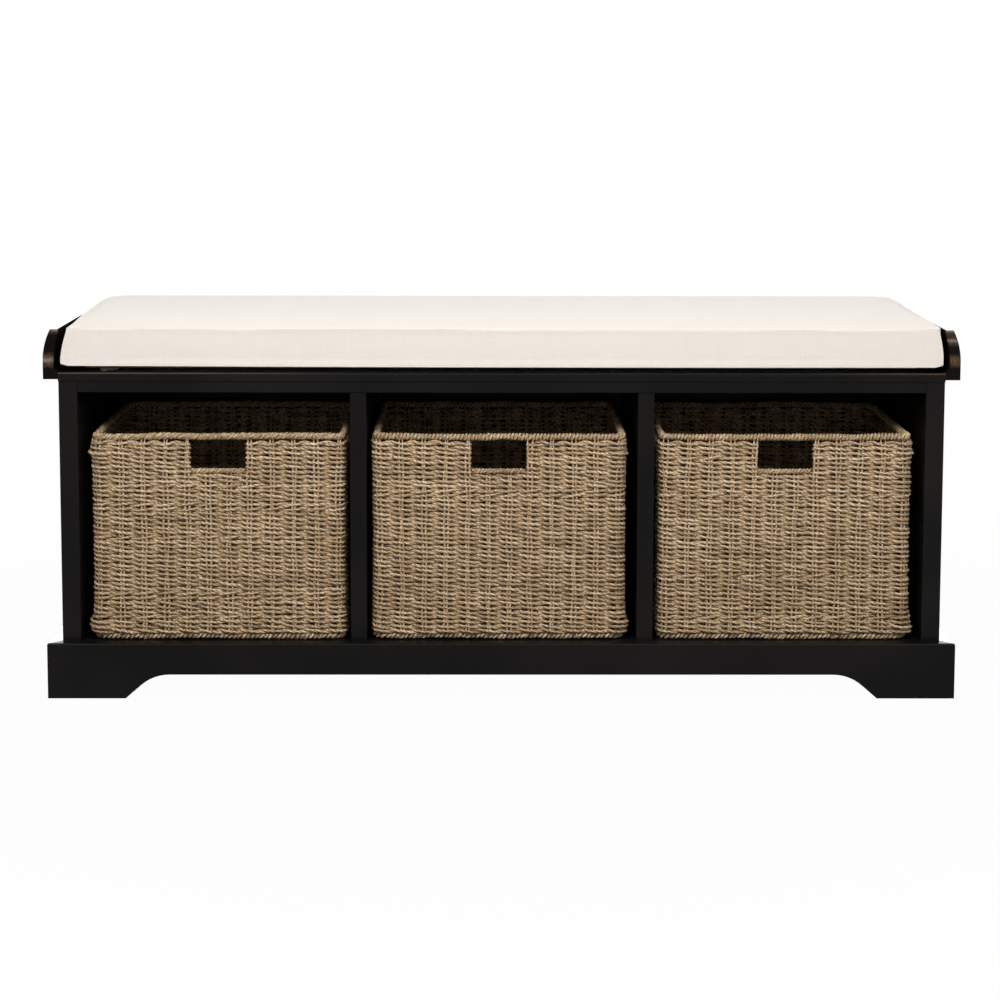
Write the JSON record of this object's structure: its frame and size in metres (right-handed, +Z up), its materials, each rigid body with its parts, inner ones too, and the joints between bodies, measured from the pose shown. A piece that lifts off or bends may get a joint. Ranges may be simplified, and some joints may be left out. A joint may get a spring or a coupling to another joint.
{
  "type": "entryway storage bench",
  "caption": "Low black cubby bench on a bracket-foot plinth, with curved end arms, a loose box cushion on the seat and a pull-out woven basket in each cubby.",
  "frame": {"origin": "on the floor under the middle of the bench", "axes": "+X to the right seen from the front, +Y to the back, +Z up"},
  "size_m": [1.22, 0.4, 0.5037],
  "materials": {
    "black_paint": "satin black paint on wood",
    "black_board": "black hardboard",
    "bare_pine": "bare pine",
    "beech": "fluted beech",
    "zinc": "die-cast zinc",
    "screw_steel": "zinc-plated steel",
    "cushion_cloth": "off-white plain-weave cotton",
    "foam": "polyurethane foam",
    "hook_tape": "white hook-and-loop",
    "seagrass": "twined dry seagrass"
  },
  "bodies": {
    "bench": {"side_panel_left": "black_paint", "side_panel_right": "black_paint", "divider_left": "black_paint", "divider_right": "black_paint", "top_panel": "black_paint", "bottom_shelf": "black_paint", "back_panel": "black_board", "seat_board": "black_paint", "arm_left": "black_paint", "arm_right": "black_paint", "plinth_front": "black_paint", "plinth_left": "black_paint", "plinth_right": "black_paint", "back_rail": "black_paint", "corner_blocks": "bare_pine", "hook_pads": "hook_tape", "panel_dowels": "beech", "cam_locks": "zinc", "cam_bolts": "zinc", "seat_screws": "screw_steel", "plinth_screws": "screw_steel", "back_screws": "screw_steel", "arm_dowels": "beech"},
    "cushion": {"cushion_cover": "cushion_cloth", "cushion_foam": "foam", "loop_pads": "hook_tape"},
    "basket_left": {"basket_left_weave": "seagrass", "basket_left_base": "seagrass", "basket_left_rim": "seagrass", "basket_left_border": "seagrass", "basket_left_binding": "seagrass"},
    "basket_middle": {"basket_middle_weave": "seagrass", "basket_middle_base": "seagrass", "basket_middle_rim": "seagrass", "basket_middle_border": "seagrass", "basket_middle_binding": "seagrass"},
    "basket_right": {"basket_right_weave": "seagrass", "basket_right_base": "seagrass", "basket_right_rim": "seagrass", "basket_right_border": "seagrass", "basket_right_binding": "seagrass"}
  },
  "joints": [
    {"name": "basket_left_slide", "type": "slide", "parent": "bench", "child": "basket_left", "axis": [0, -1, 0], "range_m": [0, 0.4]},
    {"name": "basket_middle_slide", "type": "slide", "parent": "bench", "child": "basket_middle", "axis": [0, -1, 0], "range_m": [0, 0.4]},
    {"name": "basket_right_slide", "type": "slide", "parent": "bench", "child": "basket_right", "axis": [0, -1, 0], "range_m": [0, 0.4]},
    {"name": "cushion_lift", "type": "slide", "parent": "bench", "child": "cushion", "axis": [0, 0, 1], "range_m": [0, 0.15]}
  ]
}
